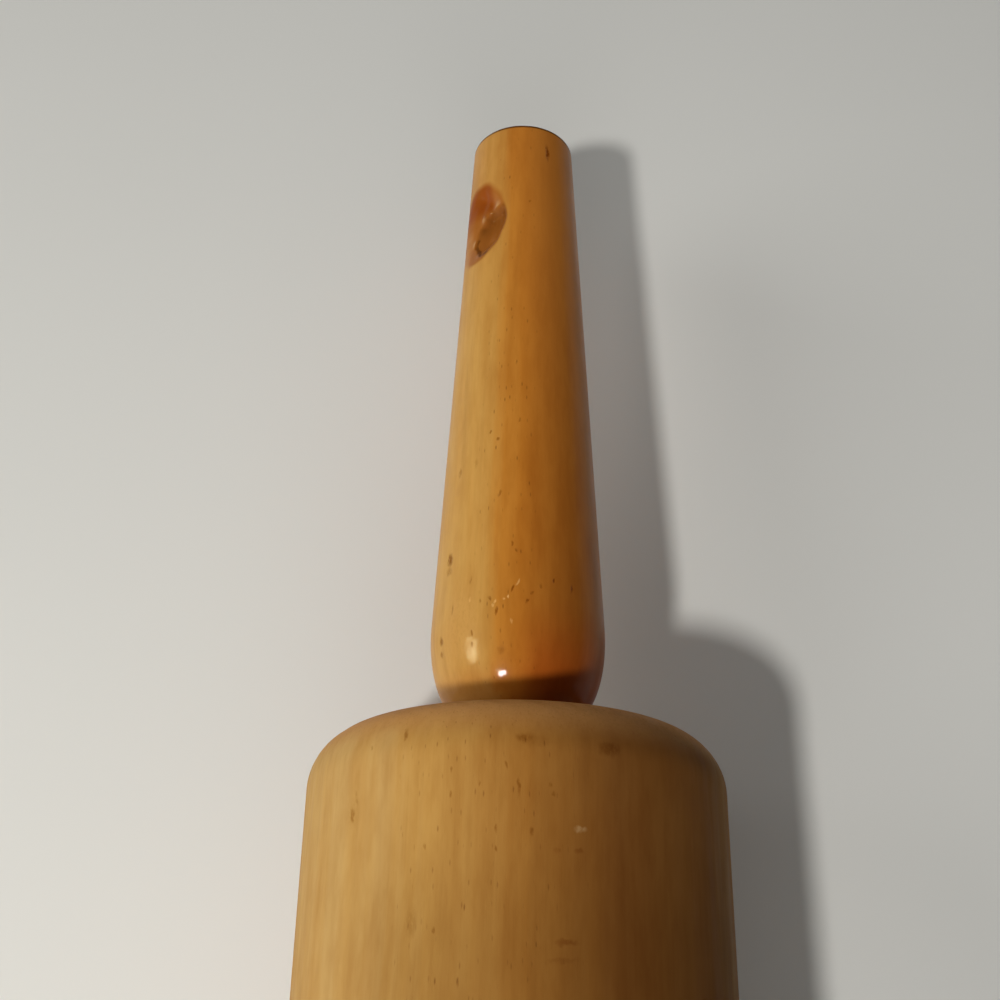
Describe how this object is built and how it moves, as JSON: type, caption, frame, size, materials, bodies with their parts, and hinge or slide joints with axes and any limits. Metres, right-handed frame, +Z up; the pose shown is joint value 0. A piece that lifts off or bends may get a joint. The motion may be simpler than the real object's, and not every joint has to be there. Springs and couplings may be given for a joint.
{
  "type": "rolling pin",
  "caption": "Wooden rolling pin: a raw beech barrel with rounded ends spins on ball bearings about a steel axle held by tapered lacquered handles.",
  "frame": {"origin": "on the table under the middle of the barrel", "axes": "+X along the pin's axis towards the right handle, the one in the picture; +Z up from the table"},
  "size_m": [0.4506, 0.056, 0.0559],
  "materials": {
    "raw_beech": "raw, sanded, matte",
    "lacquered_beech": "clear gloss lacquer",
    "bright_steel": "ground bright",
    "plated_steel": "zinc plated"
  },
  "bodies": {
    "handles": {"axle": "bright_steel", "handle_right": "lacquered_beech", "bearing_cone_right": "plated_steel", "handle_washer_right": "plated_steel", "handle_left": "lacquered_beech", "bearing_cone_left": "plated_steel", "handle_washer_left": "plated_steel"},
    "barrel": {"barrel": "raw_beech", "bearing_cup_right": "plated_steel", "bearing_cover_right": "plated_steel", "bearing_cup_left": "plated_steel", "bearing_cover_left": "plated_steel"},
    "ball_ring_right": {"bearing_ball_right_1": "bright_steel", "bearing_ball_right_2": "bright_steel", "bearing_ball_right_3": "bright_steel", "bearing_ball_right_4": "bright_steel", "bearing_ball_right_5": "bright_steel", "bearing_ball_right_6": "bright_steel", "bearing_ball_right_7": "bright_steel", "bearing_ball_right_8": "bright_steel", "bearing_ball_right_9": "bright_steel", "bearing_ball_right_10": "bright_steel", "bearing_ball_right_11": "bright_steel", "bearing_ball_right_12": "bright_steel"},
    "ball_ring_left": {"bearing_ball_left_1": "bright_steel", "bearing_ball_left_2": "bright_steel", "bearing_ball_left_3": "bright_steel", "bearing_ball_left_4": "bright_steel", "bearing_ball_left_5": "bright_steel", "bearing_ball_left_6": "bright_steel", "bearing_ball_left_7": "bright_steel", "bearing_ball_left_8": "bright_steel", "bearing_ball_left_9": "bright_steel", "bearing_ball_left_10": "bright_steel", "bearing_ball_left_11": "bright_steel", "bearing_ball_left_12": "bright_steel"}
  },
  "joints": [
    {"name": "barrel_spin", "type": "hinge", "parent": "handles", "child": "barrel", "pos_m": [0, 0, 0.02797], "axis": [1, 0, 0], "continuous": true},
    {"name": "ball_ring_spin_right", "type": "hinge", "parent": "handles", "child": "ball_ring_right", "pos_m": [0, 0, 0.02797], "axis": [1, 0, 0], "continuous": true},
    {"name": "ball_ring_spin_left", "type": "hinge", "parent": "handles", "child": "ball_ring_left", "pos_m": [0, 0, 0.02797], "axis": [1, 0, 0], "continuous": true}
  ],
  "couplings": [
    {"joint": "ball_ring_spin_right", "follows": "barrel_spin", "ratio": 0.58319},
    {"joint": "ball_ring_spin_left", "follows": "barrel_spin", "ratio": 0.58319}
  ]
}
